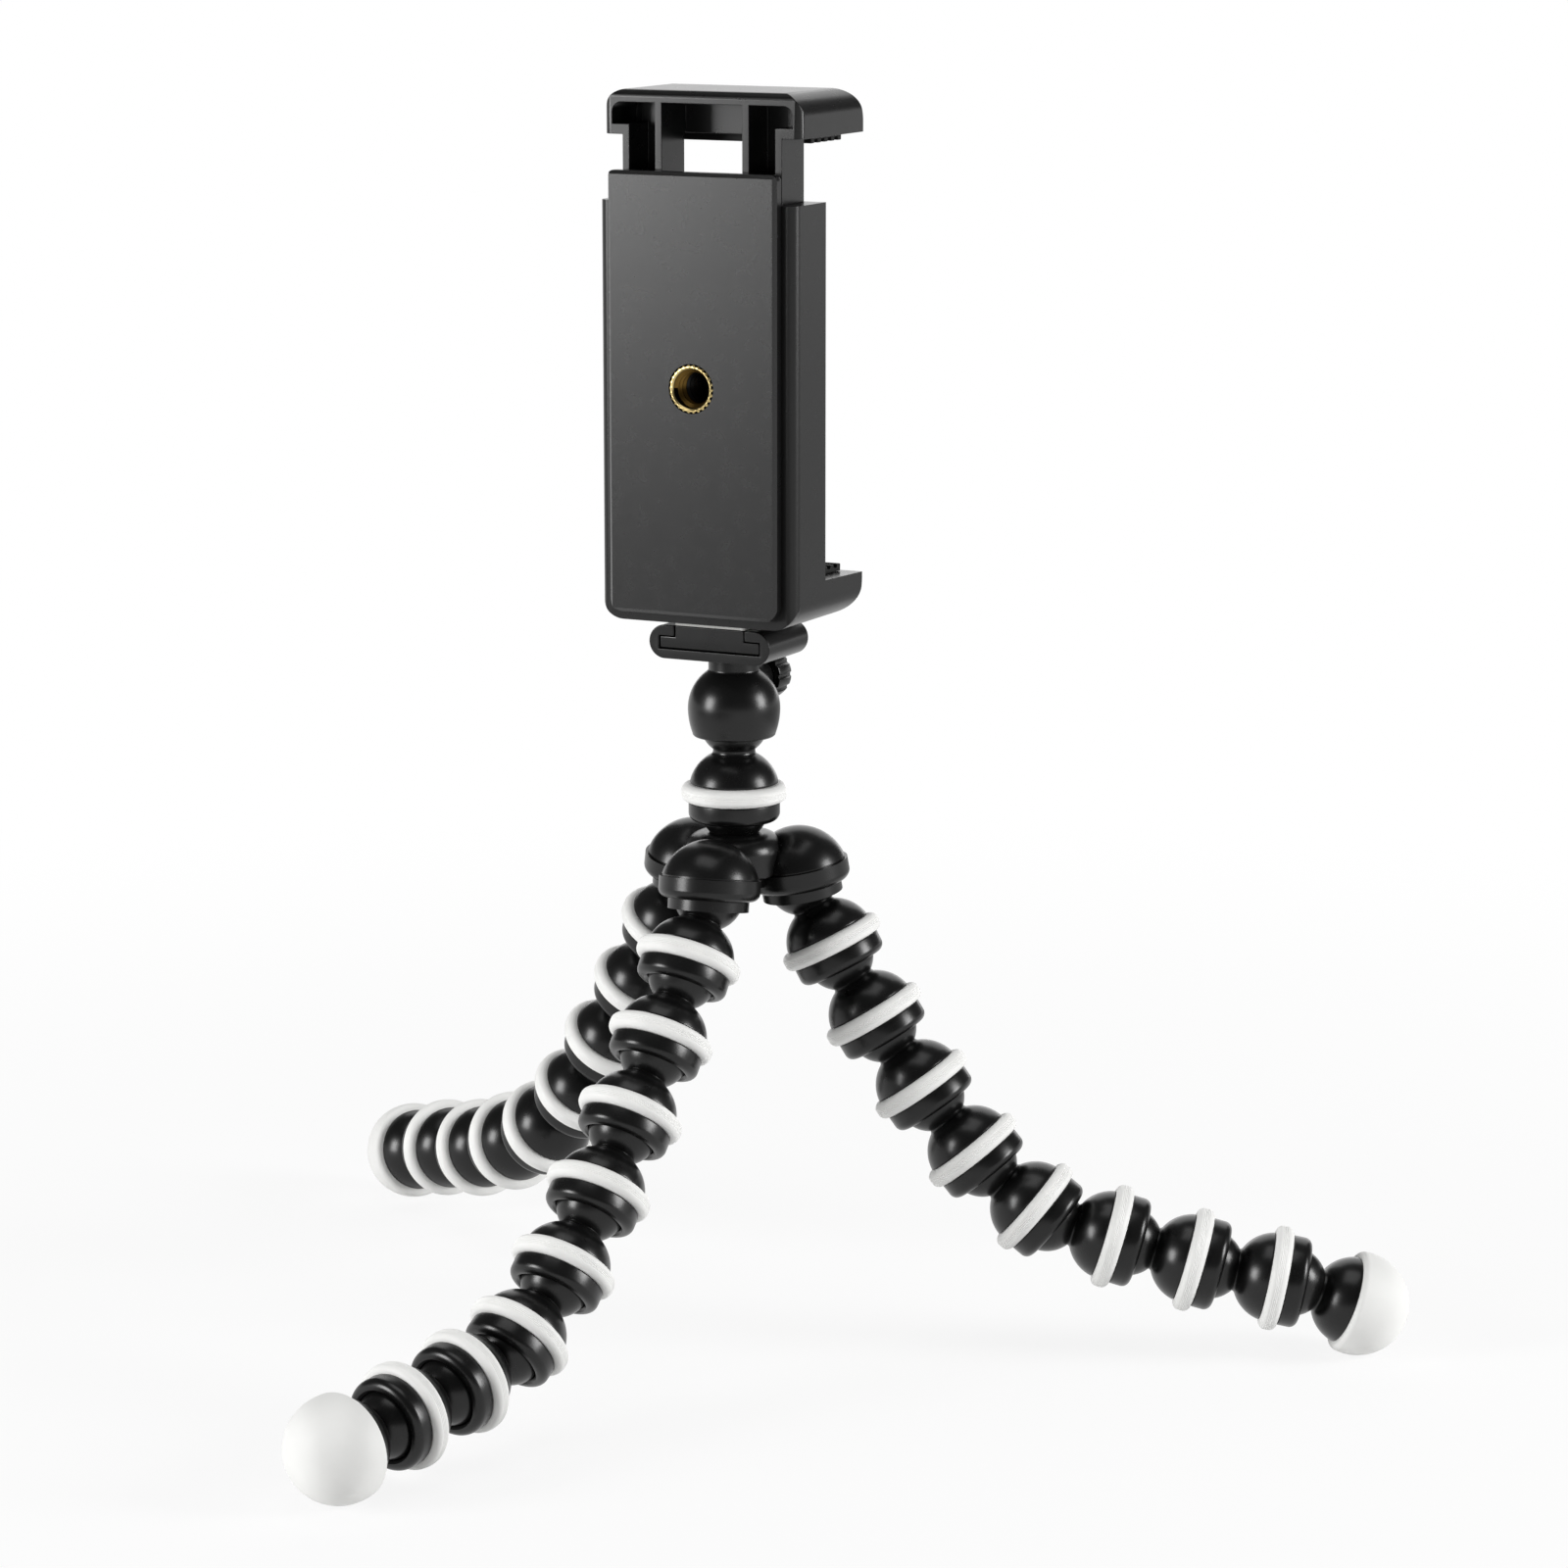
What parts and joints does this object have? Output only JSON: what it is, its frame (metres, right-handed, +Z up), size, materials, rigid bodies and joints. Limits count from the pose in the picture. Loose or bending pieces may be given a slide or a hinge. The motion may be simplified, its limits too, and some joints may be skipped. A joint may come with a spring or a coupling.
{
  "type": "flexible leg tripod",
  "caption": "Small phone tripod with bendable ball-jointed legs, rubber grip rings and feet, a ball head and a sprung clamp with a threaded insert.",
  "frame": {"origin": "on the ground under the hub's axis", "axes": "+Z up, -Y out of the clamp's threaded insert, X along the gripped phone"},
  "size_m": [0.2015, 0.1667, 0.2029],
  "materials": {
    "black_plastic": "satin moulded",
    "grey_plastic": "fine matte moulded",
    "white_rubber": "matte moulded",
    "pale_rubber": "matte",
    "black_rubber": "ribbed matte",
    "brass": "turned",
    "steel": "plain"
  },
  "bodies": {
    "hub": {"hub_cover": "black_plastic", "hub_base": "black_plastic", "hub_screw": "steel"},
    "neck": {"neck_segment": "black_plastic", "neck_ring": "white_rubber"},
    "head": {"head_housing": "black_plastic", "shoe_base": "black_plastic", "shoe_screw": "steel"},
    "lock": {"lock_knob": "black_plastic", "lock_screw": "steel"},
    "plate": {"shoe_plate": "grey_plastic", "plate_pad": "pale_rubber", "plate_screw": "steel"},
    "clamp": {"clamp_body": "black_plastic", "clamp_cover": "grey_plastic", "cover_screws": "steel", "front_insert": "brass", "bottom_insert": "brass", "lower_jaw_pad": "black_rubber", "jaw_springs": "steel", "spring_pins": "steel"},
    "jaw": {"upper_jaw": "black_plastic", "upper_jaw_pad": "black_rubber"},
    "right_link_1": {"right_leg_segment_1": "black_plastic"},
    "right_link_2": {"right_leg_segment_2": "black_plastic"},
    "right_link_3": {"right_leg_segment_3": "black_plastic"},
    "right_link_4": {"right_leg_segment_4": "black_plastic"},
    "right_link_5": {"right_leg_segment_5": "black_plastic"},
    "right_link_6": {"right_leg_segment_6": "black_plastic"},
    "right_link_7": {"right_leg_segment_7": "black_plastic"},
    "right_link_8": {"right_leg_segment_8": "black_plastic"},
    "right_foot": {"right_foot_stud": "black_plastic", "right_foot_cap": "white_rubber"},
    "front_link_1": {"front_leg_segment_1": "black_plastic"},
    "front_link_2": {"front_leg_segment_2": "black_plastic"},
    "front_link_3": {"front_leg_segment_3": "black_plastic"},
    "front_link_4": {"front_leg_segment_4": "black_plastic"},
    "front_link_5": {"front_leg_segment_5": "black_plastic"},
    "front_link_6": {"front_leg_segment_6": "black_plastic"},
    "front_link_7": {"front_leg_segment_7": "black_plastic"},
    "front_link_8": {"front_leg_segment_8": "black_plastic"},
    "front_foot": {"front_foot_stud": "black_plastic", "front_foot_cap": "white_rubber"},
    "rear_link_1": {"rear_leg_segment_1": "black_plastic"},
    "rear_link_2": {"rear_leg_segment_2": "black_plastic"},
    "rear_link_3": {"rear_leg_segment_3": "black_plastic"},
    "rear_link_4": {"rear_leg_segment_4": "black_plastic"},
    "rear_link_5": {"rear_leg_segment_5": "black_plastic"},
    "rear_link_6": {"rear_leg_segment_6": "black_plastic"},
    "rear_link_7": {"rear_leg_segment_7": "black_plastic"},
    "rear_link_8": {"rear_leg_segment_8": "black_plastic"},
    "rear_foot": {"rear_foot_stud": "black_plastic", "rear_foot_cap": "white_rubber"}
  },
  "joints": [
    {"name": "neck_tilt", "type": "hinge", "parent": "hub", "child": "neck", "pos_m": [0, 0, 0.08822], "axis": [1, 0, 0], "range_deg": [-16, 16]},
    {"name": "head_tilt", "type": "hinge", "parent": "neck", "child": "head", "pos_m": [0, 0, 0.10222], "axis": [0, 1, 0], "range_deg": [-30, 30]},
    {"name": "lock_turn", "type": "hinge", "parent": "head", "child": "lock", "pos_m": [0, 0.008, 0.10832], "axis": [0, 1, 0], "continuous": true},
    {"name": "plate_release", "type": "slide", "parent": "head", "child": "plate", "axis": [0, -1, 0], "range_m": [0, 0.0125]},
    {"name": "clamp_swivel", "type": "hinge", "parent": "plate", "child": "clamp", "pos_m": [0, -0.00175, 0.11967], "axis": [0, 0, 1], "continuous": true},
    {"name": "jaw_slide", "type": "slide", "parent": "clamp", "child": "jaw", "axis": [0, 0, 1], "range_m": [-0.0092, 0.018], "stiffness_N_per_m": 120, "springref_m": -0.03, "deforming": ["jaw_springs"]},
    {"name": "right_link_1_bend", "type": "hinge", "parent": "hub", "child": "right_link_1", "pos_m": [0.00885, 0.00619, 0.07572], "axis": [0.1908, -0.9816, 0], "range_deg": [-25, 10]},
    {"name": "right_link_2_bend", "type": "hinge", "parent": "right_link_1", "child": "right_link_2", "pos_m": [0.01511, 0.00741, 0.06371], "axis": [0.8295, 0.1763, 0.5299], "range_deg": [-30, 29]},
    {"name": "right_link_3_bend", "type": "hinge", "parent": "right_link_2", "child": "right_link_3", "pos_m": [0.02216, 0.00891, 0.05218], "axis": [-0.225, 0.9744, 0], "range_deg": [-25, 33]},
    {"name": "right_link_4_bend", "type": "hinge", "parent": "right_link_3", "child": "right_link_4", "pos_m": [0.02995, 0.01071, 0.04117], "axis": [-0.7464, -0.1723, -0.6428], "range_deg": [-29, 29]},
    {"name": "right_link_5_bend", "type": "hinge", "parent": "right_link_4", "child": "right_link_5", "pos_m": [0.03847, 0.01268, 0.03076], "axis": [0.2756, -0.9613, 0], "range_deg": [-40, 18]},
    {"name": "right_link_6_bend", "type": "hinge", "parent": "right_link_5", "child": "right_link_6", "pos_m": [0.04863, 0.01559, 0.0222], "axis": [0.2556, 0.1033, 0.9613], "range_deg": [-24, 14]},
    {"name": "right_link_7_bend", "type": "hinge", "parent": "right_link_6", "child": "right_link_7", "pos_m": [0.06075, 0.02049, 0.01845], "axis": [-0.3584, 0.9336, 0], "range_deg": [-28, 30]},
    {"name": "right_link_8_bend", "type": "hinge", "parent": "right_link_7", "child": "right_link_8", "pos_m": [0.07302, 0.02519, 0.01493], "axis": [-0.1769, -0.0715, -0.9816], "range_deg": [-28, 30]},
    {"name": "right_foot_bend", "type": "hinge", "parent": "right_link_8", "child": "right_foot", "pos_m": [0.08539, 0.03019, 0.01233], "axis": [0.515, -0.8572, 0], "range_deg": [-19, 37]},
    {"name": "front_link_1_bend", "type": "hinge", "parent": "hub", "child": "front_link_1", "pos_m": [0.00094, -0.01076, 0.07572], "axis": [-0.9925, 0.1219, 0], "range_deg": [-29, 7]},
    {"name": "front_link_2_bend", "type": "hinge", "parent": "front_link_1", "child": "front_link_2", "pos_m": [0.00006, -0.01797, 0.06422], "axis": [-0.0995, -0.8101, 0.5778], "range_deg": [-29, 29]},
    {"name": "front_link_3_bend", "type": "hinge", "parent": "front_link_2", "child": "front_link_3", "pos_m": [-0.0009, -0.02577, 0.05312], "axis": [0.9925, -0.1219, 0], "range_deg": [-26, 33]},
    {"name": "front_link_4_bend", "type": "hinge", "parent": "front_link_3", "child": "front_link_4", "pos_m": [-0.00195, -0.03432, 0.0426], "axis": [0.0785, 0.7472, -0.66], "range_deg": [-29, 30]},
    {"name": "front_link_5_bend", "type": "hinge", "parent": "front_link_4", "child": "front_link_5", "pos_m": [-0.00289, -0.04325, 0.03238], "axis": [-0.9903, 0.1392, 0], "range_deg": [-31, 27]},
    {"name": "front_link_6_bend", "type": "hinge", "parent": "front_link_5", "child": "front_link_6", "pos_m": [-0.00419, -0.05248, 0.02248], "axis": [-0.1243, -0.5846, 0.8018], "range_deg": [-25, 31]},
    {"name": "front_link_7_bend", "type": "hinge", "parent": "front_link_6", "child": "front_link_7", "pos_m": [-0.00645, -0.06315, 0.01435], "axis": [0.9781, -0.2079, 0], "range_deg": [-5, 54]},
    {"name": "front_link_8_bend", "type": "hinge", "parent": "front_link_7", "child": "front_link_8", "pos_m": [-0.00921, -0.07613, 0.01137], "axis": [0.0279, 0.1311, -0.991], "range_deg": [-29, 29]},
    {"name": "front_foot_bend", "type": "hinge", "parent": "front_link_8", "child": "front_foot", "pos_m": [-0.01202, -0.08931, 0.00954], "axis": [-0.9781, 0.2079, 0], "range_deg": [-32, 27]},
    {"name": "rear_link_1_bend", "type": "hinge", "parent": "hub", "child": "rear_link_1", "pos_m": [-0.00979, 0.00456, 0.07572], "axis": [0.3907, 0.9205, 0], "range_deg": [-28, 8]},
    {"name": "rear_link_2_bend", "type": "hinge", "parent": "rear_link_1", "child": "rear_link_2", "pos_m": [-0.01626, 0.00731, 0.06408], "axis": [-0.7765, 0.3137, 0.5465], "range_deg": [-30, 29]},
    {"name": "rear_link_3_bend", "type": "hinge", "parent": "rear_link_2", "child": "rear_link_3", "pos_m": [-0.02315, 0.01009, 0.05269], "axis": [-0.3746, -0.9272, 0], "range_deg": [-27, 33]},
    {"name": "rear_link_4_bend", "type": "hinge", "parent": "rear_link_3", "child": "rear_link_4", "pos_m": [-0.03059, 0.0131, 0.0417], "axis": [0.693, -0.3231, -0.6445], "range_deg": [-31, 27]},
    {"name": "rear_link_5_bend", "type": "hinge", "parent": "rear_link_4", "child": "rear_link_5", "pos_m": [-0.03853, 0.0168, 0.0313], "axis": [0.4695, 0.8829, 0], "range_deg": [-42, 16]},
    {"name": "rear_link_6_bend", "type": "hinge", "parent": "rear_link_5", "child": "rear_link_6", "pos_m": [-0.04813, 0.02191, 0.02314], "axis": [-0.2851, 0.1852, 0.9404], "range_deg": [-20, 29]},
    {"name": "rear_link_7_bend", "type": "hinge", "parent": "rear_link_6", "child": "rear_link_7", "pos_m": [-0.05886, 0.02888, 0.01852], "axis": [-0.5592, -0.829, 0], "range_deg": [-27, 31]},
    {"name": "rear_link_8_bend", "type": "hinge", "parent": "rear_link_7", "child": "rear_link_8", "pos_m": [-0.06959, 0.03612, 0.01434], "axis": [0.1726, -0.1121, -0.9786], "range_deg": [-28, 30]},
    {"name": "rear_foot_bend", "type": "hinge", "parent": "rear_link_8", "child": "rear_foot", "pos_m": [-0.08075, 0.04336, 0.01155], "axis": [0.5446, 0.8387, 0], "range_deg": [-25, 33]}
  ]
}
